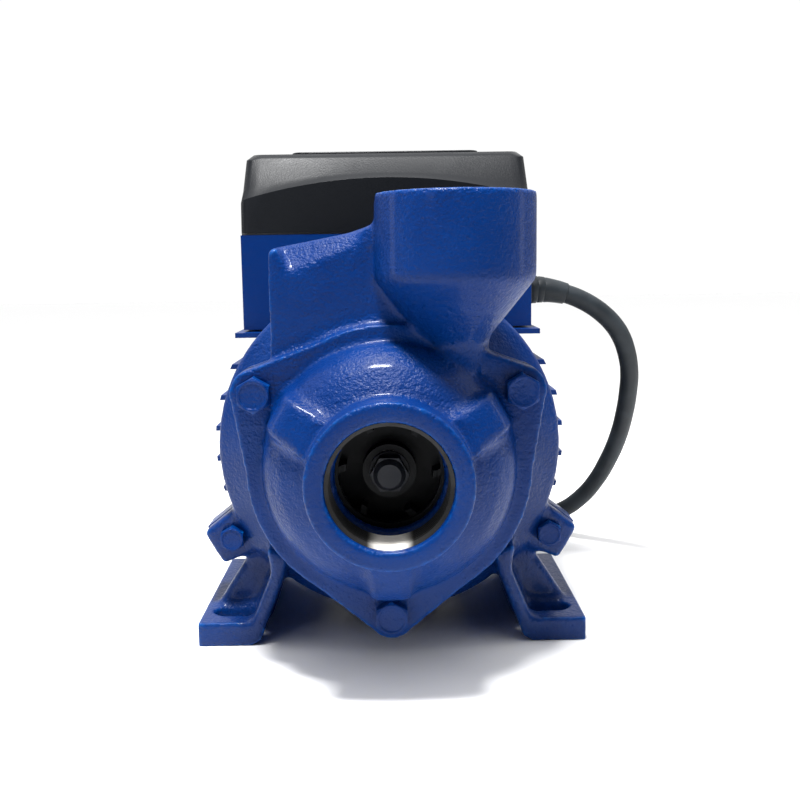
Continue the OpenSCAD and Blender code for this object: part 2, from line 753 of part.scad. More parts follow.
module cover_side_outline(inset) {
    polygon([[box_d + inset, cover_z - eps * inset], [box_d + inset, cover_z + 20],
        [box_d + 14 + inset, cover_top - 1.5 - inset], [box_d + box_len - 14 - inset, cover_top - 1.5 - inset],
        [box_d + box_len - inset, cover_z + 20], [box_d + box_len - inset, cover_z - eps * inset]]);
}

module cover_solid(inset) {
    intersection() {
        front_plate(box_d - 1, box_len + 2) cover_front_outline(inset);
        translate([-box_w / 2 - 1, -slot_d, shaft_h]) rotate([90, 0, 90]) linear_extrude(box_w + 2) cover_side_outline(inset);
    }
}

module terminal_cover() {
    color(plastic) difference() {
        union() {
            difference() {
                cover_solid(0);
                cover_solid(3);
            }
            shaft_box([-43, box_d + 15, cover_top - 2], [43, box_d + box_len - 15, cover_top]);
            for (s = cover_screw_spots) intersection() {
                translate([s[0], s[1] - slot_d, shaft_h + cover_z]) cylinder(h = 40, r = 6);
                cover_solid(0);
            }
        }
        for (s = cover_screw_spots) {
            translate([s[0], s[1] - slot_d, shaft_h + cover_z - eps]) cylinder(h = 45, r = 2.3);
            translate([s[0], s[1] - slot_d, shaft_h + cover_z + 10]) cylinder(h = 45, r = 4.4);
        }
    }
}

module cover_screws() {
    color(steel) for (s = cover_screw_spots) {
        translate([s[0], s[1] - slot_d, shaft_h + cover_z + 10]) pan_screw(3.8, 2.4, 2, 20);
    }
}

module terminal_block() {
    color("whitesmoke") difference() {
        shaft_box([4, box_d + 6, 72.5], [44, box_d + 34, 82]);
        for (k = [0:2]) translate([12 + 12 * k, box_d + 20 - slot_d, shaft_h + 76]) cylinder(h = 10, r = 2 + gap);
    }
}

module terminal_studs() {
    color(brass) for (k = [0:2]) translate([12 + 12 * k, box_d + 20 - slot_d, shaft_h + 82]) {
        pan_screw(3.6, 2.4, 2, 5.5);
    }
}

module capacitor() {
    color(aluminium) translate([capacitor_x, box_d + 14 - slot_d, shaft_h + 88]) rotate([-90, 0, 0]) {
        cylinder(h = 66, r = 17.5);
        translate([0, 0, 66]) cylinder(h = 3, r = 15);
        for (x = [-6, 6]) translate([x - 3, -0.4, 69]) cube([6, 0.8, 7]);
    }
}

module capacitor_clip() {
    color(steel) {
        translate([capacitor_x, box_d + 40 - slot_d, shaft_h + 88]) rotate([-90, 0, 0]) ring(18.6, 17.6, 8);
        shaft_box([-60, box_d + 40, 68], [capacitor_x - 18.2, box_d + 48, 69]);
        shaft_box([capacitor_x - 19.2, box_d + 40, 68], [capacitor_x - 18.2, box_d + 48, 88]);
    }
}

module earth_screw() {
    color(brass) translate([46, 180 - slot_d, shaft_h + 55]) pan_screw(4.5, 3, 2.5, 6);
}

// Moulded relief: groove in the box wall, then a tapering boot that ends in a collar
module strain_relief() {
    translate([0, entry_d - slot_d, shaft_h + entry_up]) rotate([0, 90, 0]) color(rubber) rotate_extrude() polygon([
        [0, 57.5], [10, 57.5], [10, box_w / 2 - 4.2], [7.3, box_w / 2 - 4.2], [7.3, box_w / 2 + 0.1],
        [9.5, box_w / 2 + 0.1], [9.5, box_w / 2 + 3], [8, box_w / 2 + 4], [6.6, 73], [0, 73]
    ]);
}

// Three insulated wires from the cord's relief up to the terminal screws
module cord_cores() {
    for (k = [0:2]) color(["saddlebrown", "blue", "green"][k]) tube(smooth_route([
        [57.3, 65.5 + 3.5 * k, 150], [54, 65.5 + 3.5 * k, 150.5], [48 + 2.5 * k, 62 + 3.8 * k, 157],
        [32 + 11 * k, 58 - k, 168], [19 + 11 * k, 56 - 2 * k, 172], [12 + 12 * k, 50, 171],
        [12 + 12 * k, 48, 169.2]
    ], 3), 1.2, 8, [0.2, 1, 0.1]);
}

// ---------------------------------------------------------------- power cord
module power_cord() {
    color(rubber) tube(smooth_route(cord_route, 2), cord_r, 10, [0.3, 1, 0.2]);
}

module coil_profile() {
    half_w = coil_turns_w / 2;
    polygon([
        [coil_r - half_w, 2.5], [coil_r - half_w + 2.5, 0], [coil_r + half_w - 2.5, 0], [coil_r + half_w, 2.5],
        [coil_r + half_w, 8], [coil_r + 10, 19.5], [coil_r - 10, 19.5], [coil_r - half_w, 8]
    ]);
}

module cord_coil() {
    color(rubber) translate([coil_centre[0], coil_centre[1], tie_t]) rotate_extrude() coil_profile();
}

module cord_tail() {
    color(rubber) tube(smooth_route(tail_route, 2), cord_r, 10, [0, 1, 0.01]);
}

// Flat band round the coil's section, with its lock
module cord_tie() {
    half_w = coil_turns_w / 2 + 1;
    color("gainsboro") translate([coil_centre[0] - coil_r, coil_centre[1] + 2.5, 0]) {
        rotate([90, 0, 0]) linear_extrude(5) difference() {
            polygon([[-half_w, 0], [half_w, 0], [half_w, 9.5], [10.5, 21.5], [-10.5, 21.5], [-half_w, 9.5]]);
            polygon([[-half_w + 1, tie_t], [half_w - 1, tie_t], [half_w - 1, 9], [10, 20.5], [-10, 20.5],
                [-half_w + 1, 9]]);
        }
        translate([-4, -6, 20.5]) cube([8, 7, 4]);
    }
}

// Two-pole plug with earth contacts, lying on its side
module plug_body() {
    color(rubber) translate(plug_pos) rotate([0, 90, 0]) difference() {
        rotate_extrude() polygon([[0, 0], [5.6, 0], [6.6, 14], [9, 20], [14, 22], [19, 27], [19, 54], [17, 56], [0, 56]]);
        for (a = [90, 270]) rotate(a) translate([16.5, -3, 40]) cube([5, 6, 20]);
    }
}

module plug_pins() {
    color(steel) for (side = [-1, 1]) translate(plug_pos) rotate([0, 90, 0]) {
        translate([0, side * 9.5, 56]) cylinder(h = 19, r = 2.4, $fn = 32);
    }
}

pump_body();
body_gasket();
body_bolts();
motor_bracket();
seal_seat();
seal_seat_cup();
seal_face();
seal_bellows();
seal_spring();
impeller();
impeller_key();
impeller_nut();
impeller_washer();
slinger();
shaft();
rotor_core();
rotor_end_rings();
front_bearing_outer();
front_bearing_inner();
front_bearing_balls();
rear_bearing_outer();
rear_bearing_inner();
rear_bearing_balls();
preload_washer();
bracket_screws();
motor_casing();
stator_core();
stator_winding();
motor_leads();
rear_shield();
shield_screws();
fan();
fan_clip();
fan_cover();
fan_cover_screws();
terminal_gasket();
terminal_cover();
cover_screws();
terminal_block();
terminal_studs();
capacitor();
capacitor_clip();
earth_screw();
strain_relief();
cord_cores();
power_cord();
cord_coil();
cord_tail();
cord_tie();
plug_body();
plug_pins();
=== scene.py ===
import json
import math

import bmesh
import bpy
from mathutils import Matrix, Vector


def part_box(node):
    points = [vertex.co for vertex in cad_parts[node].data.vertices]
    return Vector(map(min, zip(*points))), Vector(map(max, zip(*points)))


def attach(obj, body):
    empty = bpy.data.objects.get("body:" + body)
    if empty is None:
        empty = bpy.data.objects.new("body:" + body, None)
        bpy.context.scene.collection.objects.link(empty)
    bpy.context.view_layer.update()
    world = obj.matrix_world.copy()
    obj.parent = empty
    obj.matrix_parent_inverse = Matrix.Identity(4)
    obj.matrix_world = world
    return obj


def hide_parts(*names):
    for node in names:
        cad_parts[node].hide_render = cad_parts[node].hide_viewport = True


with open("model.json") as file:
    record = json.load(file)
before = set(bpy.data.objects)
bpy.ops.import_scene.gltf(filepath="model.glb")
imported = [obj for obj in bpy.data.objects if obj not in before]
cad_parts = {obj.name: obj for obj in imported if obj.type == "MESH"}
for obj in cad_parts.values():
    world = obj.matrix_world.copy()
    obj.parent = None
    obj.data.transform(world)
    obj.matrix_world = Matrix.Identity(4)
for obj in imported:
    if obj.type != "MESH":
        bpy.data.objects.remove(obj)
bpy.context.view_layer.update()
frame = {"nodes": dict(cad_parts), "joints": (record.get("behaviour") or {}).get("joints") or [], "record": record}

mm = 0.001
weldGap = 2e-6  # metres, joins the loose triangles of a CAD mesh
flatWithin = 0.6  # degrees, faces this close to one plane become one face
scene = bpy.context.scene
shaftUp = frame["joints"][0]["pos_m"][2]  # height of the shaft above the base
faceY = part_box("pump_body")[0].y  # the suction face
nodeBody = {node: body for body, nodes in frame["record"]["behaviour"]["bodies"].items() for node in nodes}
nodeSlot = {part["node"]: part["material_slot"] for part in frame["record"]["subparts"]}


def at(x, station, up):
    # a point in metres from x, distance behind the suction face and height above the shaft, in mm
    return Vector((x * mm, faceY + station * mm, shaftUp + up * mm))


# camera

cameraSetup = {
    "place": (0.0014, -0.4331, 0.1653),
    "down": 7.94,  # degrees
    "right": 0.465,
    "roll": 0.853,
    "lens": 45.0,
}


def addCamera(setup):
    data = bpy.data.cameras.new("camera")
    data.lens = setup["lens"]
    data.clip_start = 0.01
    camera = bpy.data.objects.new("camera", data)
    scene.collection.objects.link(camera)
    turn = Matrix.Rotation(math.radians(-setup["right"]), 4, "Z")
    turn = turn @ Matrix.Rotation(math.radians(90 - setup["down"]), 4, "X")
    turn = turn @ Matrix.Rotation(math.radians(-setup["roll"]), 4, "Z")
    camera.matrix_world = Matrix.Translation(setup["place"]) @ turn
    scene.camera = camera


addCamera(cameraSetup)
print("camera placed")


# node graphs

class Value:
    # one socket of a node tree: an expression on values adds its Math nodes
    def __init__(self, tree, socket):
        self.tree = tree
        self.socket = socket

    def math(self, operation, *given):
        node = self.tree.nodes.new("ShaderNodeMath")
        node.operation = operation
        for slot, value in zip(node.inputs, given):
            if isinstance(value, Value):
                self.tree.links.new(value.socket, slot)
            else:
                slot.default_value = value
        return Value(self.tree, node.outputs[0])

    def __add__(self, other):
        return self.math("ADD", self, other)

    def __radd__(self, other):
        return self.math("ADD", other, self)

    def __sub__(self, other):
        return self.math("SUBTRACT", self, other)

    def __rsub__(self, other):
        return self.math("SUBTRACT", other, self)

    def __mul__(self, other):
        return self.math("MULTIPLY", self, other)

    def __rmul__(self, other):
        return self.math("MULTIPLY", other, self)


class Graph:
    # a node tree with one way to add a node: its settings first, then values or links for its sockets
    def __init__(self, tree):
        self.tree = tree
        tree.nodes.clear()

    def node(self, kind, settings=None, sockets=None, output=0):
        made = self.tree.nodes.new("ShaderNode" + kind)
        for key, value in (settings or {}).items():
            setattr(made, key, value)
        for key, value in (sockets or {}).items():
            if isinstance(value, Value):
                self.tree.links.new(value.socket, made.inputs[key])
            else:
                made.inputs[key].default_value = value
        return Value(self.tree, made.outputs[output]) if made.outputs else None

    def place(self):
        return self.node("TexCoord", output=3)  # Object

    def stretched(self, scale):
        return self.node("Mapping", None, {"Vector": self.place(), "Scale": scale})

    def grain(self, size, detail=2.0, rough=0.5, where=None):
        # noise whose features are about size millimetres wide
        sockets = {"Vector": where or self.place(), "Scale": 1000 / size, "Detail": detail, "Roughness": rough}
        return self.node("TexNoise", None, sockets)

    def cells(self, size, where=None):
        return self.node("TexVoronoi", None, {"Vector": where or self.place(), "Scale": 1000 / size})

    def band(self, value, low, high, toLow=0.0, toHigh=1.0):
        sockets = {"Value": value, "From Min": low, "From Max": high, "To Min": toLow, "To Max": toHigh}
        return self.node("MapRange", {"interpolation_type": "SMOOTHSTEP"}, sockets)

    def mix(self, factor, first, second):
        return self.node("Mix", {"data_type": "RGBA"}, {0: factor, 6: first, 7: second}, output=2)

    def bump(self, height, depth, strength=1.0):
        # depth in millimetres for a height of one
        return self.node("Bump", None, {"Height": height, "Distance": depth * mm, "Strength": strength})

    def ridge(self):
        # bright along worn edges, dark in corners
        return self.node("NewGeometry", output=7)


def tint(red, green, blue):
    return (red, green, blue, 1.0)


def shader(name, build, **fixed):
    # build(graph) gives the sockets that vary over the surface, and fixed the ones that don't
    material = bpy.data.materials.new(name)
    material.use_nodes = True
    graph = Graph(material.node_tree)
    sockets = {key.replace("_", " "): value for key, value in fixed.items()}
    sockets.update(build(graph))
    surface = graph.node("BsdfPrincipled", None, sockets)
    graph.node("OutputMaterial", None, {"Surface": surface})
    return material


enamelLook = {
    "deep": tint(0.0001, 0.018, 0.112),
    "blue": tint(0.0001, 0.025, 0.145),
    "thin": tint(0.001, 0.10, 0.40),
    "wear": 0.8,  # how far edges are rubbed thin
    "grit": 1.1,  # size of the sand grain under the paint, mm
    "peel": 2.8,
    "swell": 14.0,
    "bump": 0.55,
}


def ironEnamel(name, look, rough=1.0, gloss=0.10):
    # thick gloss paint over a sand casting: grains, orange peel and slow swells
    def build(g):
        swell = g.grain(look["swell"], 2.0)
        peel = g.grain(look["peel"], 2.0, 0.55)
        grit = g.grain(look["grit"], 2.0, 0.6)
        pits = g.band(g.cells(look["grit"] * 2.6), 0.0, 0.34)
        patch = g.band(g.grain(38.0, 2.0), 0.3, 0.7)
        color = g.mix(patch, look["deep"], look["blue"])
        worn = g.band(g.ridge() + peel * 0.06, 0.55, 0.63)
        color = g.mix(worn * look["wear"], color, look["thin"])
        height = swell * 0.7 + peel * 0.8 + grit * 0.8 * rough + pits * 0.3 * rough
        return {
            "Base Color": color,
            "Roughness": g.band(grit, 0.3, 0.7, 0.30, 0.42),
            "Normal": g.bump(height, look["bump"] * rough),
        }
    return shader(name, build, IOR=1.5, Specular_IOR_Level=gloss, Coat_Weight=gloss, Coat_Roughness=0.11)


def moulded(name, color, wear, rough, grit, depth, level=0.5):
    # moulded plastic or rubber with an eroded texture and a little handling shine
    def build(g):
        fine = g.grain(grit, 2.0)
        slow = g.grain(20.0, 3.0)
        shine = g.band(slow, 0.35, 0.7)
        base = g.mix(shine * 0.5, color, wear)
        base = g.mix(g.band(g.ridge(), 0.55, 0.68) * 0.5, base, wear)
        return {
            "Base Color": base,
            "Roughness": g.band(fine + shine * 0.4, 0.3, 1.1, rough + 0.06, rough - 0.06),
            "Normal": g.bump(fine + slow * 0.5, depth),
        }
    return shader(name, build, IOR=1.49, Specular_IOR_Level=level)


def metal(name, color, dull, rough, lines, stretch, depth=0.02):
    # turned, drawn or ground metal: fine lines along one direction with stains
    def build(g):
        drag = g.grain(lines, 3.0, 0.6, g.stretched(stretch))
        stain = g.band(g.grain(7.0, 4.0, 0.6), 0.42, 0.72)
        return {
            "Base Color": g.mix(stain * 0.6, color, dull),
            "Metallic": 1.0 - stain * 0.15,
            "Roughness": g.band(drag + stain * 0.3, 0.3, 0.9, rough - 0.08, rough + 0.12),
            "Normal": g.bump(drag, depth),
        }
    return shader(name, build)


def laminations(name):
    # stacked sheets across the shaft, each with its own tone
    def build(g):
        sheet = g.node("TexWave", {"bands_direction": "Y"}, {"Vector": g.place(), "Scale": 300.0, "Distortion": 0.4})
        rust = g.band(g.grain(5.0, 4.0), 0.5, 0.75)
        color = g.mix(sheet, tint(0.10, 0.10, 0.11), tint(0.22, 0.22, 0.23))
        color = g.mix(rust * 0.5, color, tint(0.14, 0.07, 0.04))
        return {
            "Base Color": color,
            "Metallic": 1.0 - rust * 0.6,
            "Roughness": g.band(rust, 0.0, 1.0, 0.4, 0.7),
            "Normal": g.bump(sheet, 0.05),
        }
    return shader(name, build)


def windings(name):
    # varnished wire laid along the slots
    def build(g):
        wave = {"Vector": g.place(), "Scale": 180.0, "Distortion": 3.0, "Detail": 1.0}
        strand = g.node("TexWave", {"bands_direction": "X"}, wave)
        gum = g.band(g.grain(9.0, 3.0), 0.4, 0.7)
        color = g.mix(strand, tint(0.20, 0.06, 0.02), tint(0.62, 0.26, 0.10))
        color = g.mix(gum * 0.6, color, tint(0.16, 0.06, 0.02))
        return {
            "Base Color": color,
            "Metallic": 0.75 - gum * 0.5,
            "Roughness": g.band(gum, 0.0, 1.0, 0.3, 0.45),
            "Normal": g.bump(strand, 0.15),
        }
    return shader(name, build)


def cutThread(name):
    # iron cut by the tap: dark in the roots, with a painted highlight low in the suction port
    def build(g):
        side = g.node("SeparateXYZ", None, {"Vector": g.place()}, output=0)
        up = g.node("SeparateXYZ", None, {"Vector": g.place()}, output=2)
        # painted highlight: a bright metal tone and some metallic laid low and central in the suction port, where
        # the overhead light would reflect off the thread
        paintedHighlight = g.band(side * side, 0.00008, 0.00001) * g.band(up, shaftUp - 0.0185, shaftUp - 0.0215)
        drag = g.grain(0.5, 3.0, 0.6, g.stretched((1.0, 6.0, 1.0)))
        rust = g.band(g.grain(6.0, 4.0, 0.65), 0.46, 0.68)
        crest = g.band(g.ridge(), 0.46, 0.58)
        color = g.mix(crest, tint(0.004, 0.005, 0.006), tint(0.014, 0.014, 0.015))
        color = g.mix(rust * 0.4, color, tint(0.012, 0.008, 0.006))
        color = g.mix(paintedHighlight, color, tint(0.86, 0.83, 0.78))
        return {
            "Base Color": color,
            "Metallic": paintedHighlight * 0.6,
            "Roughness": g.band(drag + rust * 0.4, 0.3, 1.0, 0.42, 0.62),
            "Normal": g.bump(drag, 0.05),
        }
    return shader(name, build, Specular_IOR_Level=0.2)


def sheath(name):
    # extruded cord sheath: long faint streaks, dull with rubbed patches
    def build(g):
        bloom = g.band(g.grain(14.0, 3.0), 0.4, 0.7)
        fine = g.grain(0.7, 2.0)
        base = g.mix(bloom, tint(0.012, 0.016, 0.020), tint(0.022, 0.028, 0.034))
        return {
            "Base Color": base,
            "Roughness": g.band(fine + bloom * 0.3, 0.3, 0.9, 0.46, 0.60),
            "Normal": g.bump(fine, 0.04),
        }
    return shader(name, build, IOR=1.5, Specular_IOR_Level=0.25)


even = (1.0, 1.0, 1.0)
turnedAlong = (1.0, 14.0, 1.0)
casingLook = {**enamelLook, "swell": 24.0, "peel": 4.0, "wear": 0.0}
bracketLook = {**enamelLook, "deep": tint(0.0003, 0.018, 0.11), "blue": tint(0.0004, 0.025, 0.14)}
finishes = {
    "enamel": ironEnamel("castEnamel", enamelLook),
    "casing_enamel": ironEnamel("casingEnamel", casingLook, 0.45),
    "gasket_rubber": moulded("gasketRubber", tint(0.022, 0.022, 0.022), tint(0.045, 0.045, 0.044), 0.62, 0.7, 0.05),
    "ceramic": moulded("groundCeramic", tint(0.72, 0.69, 0.62), tint(0.80, 0.78, 0.72), 0.22, 0.9, 0.01),
    "carbon": moulded("lappedCarbon", tint(0.030, 0.030, 0.033), tint(0.055, 0.055, 0.06), 0.34, 0.6, 0.02),
    "spring_steel": metal("springSteel", tint(0.50, 0.50, 0.51), tint(0.30, 0.29, 0.28), 0.28, 0.5, even),
    "brass": metal("turnedBrass", tint(0.60, 0.40, 0.17), tint(0.28, 0.20, 0.10), 0.30, 0.8, turnedAlong, 0.02),
    "machined_steel": metal("turnedSteel", tint(0.60, 0.60, 0.61), tint(0.40, 0.39, 0.38), 0.26, 0.4, turnedAlong),
    "lamination_steel": laminations("laminationStack"),
    "cast_aluminium": metal("castAluminium", tint(0.66, 0.66, 0.67), tint(0.42, 0.42, 0.42), 0.42, 1.4, even, 0.08),
    "bearing_steel": metal(
        "bearingSteel", tint(0.68, 0.68, 0.69), tint(0.52, 0.52, 0.52), 0.14, 0.3, turnedAlong, 0.005),
    "winding_copper": windings("windingCopper"),
    "wire_insulation": moulded("wireInsulation", tint(0.20, 0.035, 0.015), tint(0.30, 0.06, 0.03), 0.40, 0.8, 0.02),
    "zinc_steel": metal("zincSteel", tint(0.58, 0.58, 0.55), tint(0.42, 0.40, 0.34), 0.32, 0.8, even),
    "black_plastic": moulded("fanPlastic", tint(0.014, 0.014, 0.015), tint(0.030, 0.030, 0.032), 0.44, 0.55, 0.05),
    "cover_plastic": moulded(
        "coverPlastic", tint(0.006, 0.007, 0.009), tint(0.009, 0.010, 0.012), 0.36, 0.6, 0.05, level=0.14),
    "white_plastic": moulded("whitePlastic", tint(0.66, 0.65, 0.60), tint(0.74, 0.73, 0.69), 0.38, 0.6, 0.02),
    "capacitor_can": moulded("capacitorCan", tint(0.62, 0.62, 0.60), tint(0.72, 0.72, 0.70), 0.28, 0.9, 0.01),
    "cord_rubber": sheath("cordSheath"),
    "tie_plastic": moulded("tieNylon", tint(0.030, 0.030, 0.031), tint(0.05, 0.05, 0.05), 0.36, 0.7, 0.02),
    "nickel": metal("nickelPlate", tint(0.66, 0.62, 0.55), tint(0.50, 0.45, 0.36), 0.20, 0.4, (6.0, 1.0, 1.0), 0.01),
}
threadFinish = cutThread("cutThread")
# painted shade: darker copies of the steel and plastic finishes for the parts deep inside the suction port, where
# shade falls, and glossier enamel for the bracket
# painted shade: near-black steel for the nut and washer and an extra dark black plastic for the impeller, standing
# in for the shade inside the port
wetSteel = moulded("wetSteel", tint(0.014, 0.016, 0.022), tint(0.026, 0.028, 0.034), 0.50, 0.5, 0.03, level=0.2)
portShadePlastic = moulded("portShadePlastic", tint(0.004, 0.005, 0.007), tint(0.008, 0.009, 0.011), 0.50, 0.6, 0.03, level=0.15)
glossEnamel = ironEnamel("glossEnamel", bracketLook, 1.0, 0.14)
for nodeName, nodeObject in frame["nodes"].items():
    nodeObject.data.materials.clear()
    nodeObject.data.materials.append(finishes[nodeSlot[nodeName]])
print("finishes made")


# mesh helpers

def addPiece(name, bm, slotName, body, standsFor=(), finish=None, crease=35):
    # a new object from a bmesh, on its body and in place of CAD nodes
    mesh = bpy.data.meshes.new(name)
    bm.to_mesh(mesh)
    bm.free()
    mesh.materials.append(finish or finishes[slotName])
    mesh.shade_smooth()
    mesh.set_sharp_from_angle(angle=math.radians(crease))
    piece = bpy.data.objects.new(name, mesh)
    scene.collection.objects.link(piece)
    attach(piece, body)
    if standsFor:
        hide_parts(*standsFor)
    return piece


def mergedCopy(node):
    # a CAD node's mesh with its loose triangles joined
    bm = bmesh.new()
    bm.from_mesh(frame["nodes"][node].data)
    bmesh.ops.remove_doubles(bm, verts=bm.verts, dist=weldGap)
    return bm


def applyModifiers(piece):
    graph = bpy.context.evaluated_depsgraph_get()
    mesh = bpy.data.meshes.new_from_object(piece.evaluated_get(graph))
    piece.modifiers.clear()
    piece.data = mesh


def addRounding(piece, width, angle=35, segments=2):
    bevel = piece.modifiers.new("rounding", "BEVEL")
    bevel.width = width * mm
    bevel.segments = segments
    bevel.limit_method = "ANGLE"
    bevel.angle_limit = math.radians(angle)
    bevel.harden_normals = False


def bevelCorners(bm, edges, radius, segments):
    offset = radius * mm
    bmesh.ops.bevel(bm, geom=edges, offset=offset, segments=segments, affect="EDGES", profile=0.5, material=-1)


def smoothed(bm, verts, passes):
    for _ in range(passes):
        bmesh.ops.smooth_vert(bm, verts=verts, factor=0.5, use_axis_x=True, use_axis_y=True, use_axis_z=True)


def newVerts(made):
    return [part for part in made if isinstance(part, bmesh.types.BMVert)]


def ringLoft(bm, columns, levels, place, capStart=True):
    # a ring of columns extruded from level to level; place(column, level) gives each point in metres
    tag = bm.verts.layers.int.get("column") or bm.verts.layers.int.new("column")
    ring = bmesh.ops.create_circle(bm, segments=columns, radius=mm)["verts"]
    for column, vert in enumerate(ring):
        vert[tag] = column
        vert.co = place(column, 0)
    inRing = set(ring)
    edges = [edge for edge in bm.edges if set(edge.verts) <= inRing]
    first = edges
    for level in range(1, levels):
        made = bmesh.ops.extrude_edge_only(bm, edges=edges)["geom"]
        inRing = set(newVerts(made))
        for vert in inRing:
            vert.co = place(vert[tag], level)
        edges = [part for part in made if isinstance(part, bmesh.types.BMEdge) and set(part.verts) <= inRing]
    if capStart:
        bmesh.ops.contextual_create(bm, geom=first)
    bmesh.ops.contextual_create(bm, geom=edges)
    bmesh.ops.recalc_face_normals(bm, faces=bm.faces)


def turned(bm, outline, start, along, segments=64):
    # closed turned shape: outline is (radius, distance) in mm from start along a direction
    turn = Vector((0, 0, 1)).rotation_difference(Vector(along))

    def place(column, level):
        radius, reach = outline[level]
        angle = 2 * math.pi * column / segments
        local = Vector((radius * math.cos(angle), radius * math.sin(angle), reach)) * mm
        return start + turn @ local

    ringLoft(bm, segments, len(outline), place)


# the lead: one length from the terminal box to the plug

lead = {
    "diameter": 9.5,
    "length": 1.533,
    "route": [
        (73, 69, 150), (79, 69, 149.7), (85, 69, 148.7), (91, 69, 147), (97, 69.1, 144.5), (103, 69.4, 141.1),
        (108.5, 70.1, 137), (113.6, 71.3, 132), (118.2, 73.5, 125.6), (122, 77, 117.2), (124.8, 82, 107),
        (125.9, 88.6, 95), (125.9, 96.4, 81.8), (124.7, 105.3, 67.8), (121.6, 114.9, 53.4), (117, 125.2, 39.4),
        (110.6, 136.6, 26.8), (101.8, 150, 16), (90.3, 164.5, 8.9), (76, 179.5, 5.6), (60, 193, 5),
        (42, 203.7, 5), (22, 211.6, 5.2), (1, 216.8, 5.5), (-20, 218, 5.5),
    ],
    "coilMiddle": (-20, 280),
    "outerTurn": 62.0,
    "turns": 3.5,
    "turnsDown": 2,  # turns on the floor before it climbs onto them
    "pointsPerTurn": 16,
    "climbEarly": 0.24,  # of a turn before the last turn down ends
    "climbOver": 0.56,
    "low": 5.55,
    "high": 15.1,
    "tail": [(-9, 337.2, 15), (4, 337, 15), (16, 337, 16), (27, 337, 18), (37, 337, 19)],
}


def coilPoints(setup):
    # flat turns inwards, then back outwards on top of them
    points = []
    down = setup["turnsDown"]
    for step in range(1, int(setup["turns"] * setup["pointsPerTurn"]) + 1):
        turn = step / setup["pointsPerTurn"]
        inward = min(turn, down) - max(turn - down, 0)
        radius = setup["outerTurn"] - setup["diameter"] * inward
        climb = min(max((turn - down + setup["climbEarly"]) / setup["climbOver"], 0), 1)
        up = setup["low"] + (setup["high"] - setup["low"]) * climb * climb * (3 - 2 * climb)
        angle = -math.pi / 2 - 2 * math.pi * turn
        middle = setup["coilMiddle"]
        points.append((middle[0] + radius * math.cos(angle), middle[1] + radius * math.sin(angle), up))
    return points


def addLead(setup):
    points = setup["route"] + coilPoints(setup) + setup["tail"]
    curve = bpy.data.curves.new("powerLead", "CURVE")
    curve.dimensions = "3D"
    curve.resolution_u = 5
    curve.bevel_depth = setup["diameter"] / 2 * mm
    curve.bevel_resolution = 5
    curve.use_fill_caps = True
    spline = curve.splines.new("BEZIER")
    spline.bezier_points.add(len(points) - 1)
    for knot, point in zip(spline.bezier_points, points):
        knot.co = Vector(point) * mm
        knot.handle_left_type = knot.handle_right_type = "AUTO"
    curve.materials.append(finishes["cord_rubber"])
    piece = bpy.data.objects.new("powerLead", curve)
    scene.collection.objects.link(piece)
    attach(piece, "housing")
    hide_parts("power_cord", "cord_coil", "cord_tail")
    return piece


powerLead = addLead(lead)
print("lead laid")


# plug: a moulded two-pin plug with side earth grooves

plugShape = {
    # distance along it, half width, half height
    "stations": [
        (0, 5.4, 5.4), (3, 6.0, 6.0), (12, 7.0, 7.0), (18, 8.5, 8.5), (21, 12.5, 12.5), (25, 18.2, 18.2),
        (28, 18.9, 18.9), (40, 18.9, 18.9), (43, 18.0, 18.9), (50, 18.0, 18.9), (54, 18.6, 18.6),
        (56, 17.2, 17.2),
    ],
    "flatFrom": 20,  # the sides are slightly flattened from here on
    "flatDepth": 0.05,
    "grips": 3,
    "gripStart": 7.0,
    "gripPitch": 4.0,
    "pinRadius": 2.4,
    "pinGap": 19.0,
    "pinLength": 19.0,
    "pinRoot": 3,  # length inside the plug
}


def addPlug(shape):
    low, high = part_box("plug_body")
    start = Vector((low.x, (low.y + high.y) / 2, (low.z + high.z) / 2))
    bm = bmesh.new()
    columns = 64
    stations = shape["stations"]

    def place(column, level):
        along, wide, tall = stations[level]
        angle = 2 * math.pi * column / columns
        flat = 1.0 if along < shape["flatFrom"] else 1.0 - shape["flatDepth"] * abs(math.cos(2 * angle)) ** 6
        return start + Vector((along, wide * math.cos(angle) * flat, tall * math.sin(angle) * flat)) * mm

    ringLoft(bm, columns, len(stations), place)
    # finger grips round the waist of the boot
    for grip in range(shape["grips"]):
        middle = start + Vector((shape["gripStart"] + shape["gripPitch"] * grip, 0, 0)) * mm
        rim = 7.6 + 0.5 * grip
        turned(bm, [(5.0, -0.9), (rim, -0.6), (rim, 0.6), (5.0, 0.9)], middle, (1, 0, 0))
    plug = addPiece("plugBody", bm, "cord_rubber", "housing", ["plug_body"], finishes["black_plastic"])
    addRounding(plug, 0.5)
    bm = bmesh.new()
    face = Vector((high.x, start.y, start.z))
    for side in (-1, 1):
        foot = face + Vector((-shape["pinRoot"], side * shape["pinGap"] / 2, 0)) * mm
        radius, reach = shape["pinRadius"], shape["pinLength"] + shape["pinRoot"]
        waist = radius * 0.93
        outline = [
            (radius, 0), (radius, 12), (waist, 12.4), (waist, reach - 3), (radius, reach - 2.6),
            (radius, reach - 1.6), (radius * 0.7, reach - 0.5), (radius * 0.3, reach),
        ]
        turned(bm, outline, foot, (1, 0, 0), 32)
    pins = addPiece("plugPins", bm, "nickel", "housing", ["plug_pins"])
    return plug, pins


plugPieces = addPlug(plugShape)
print("plug moulded")


# strain relief: ribbed boot on the right of the terminal box

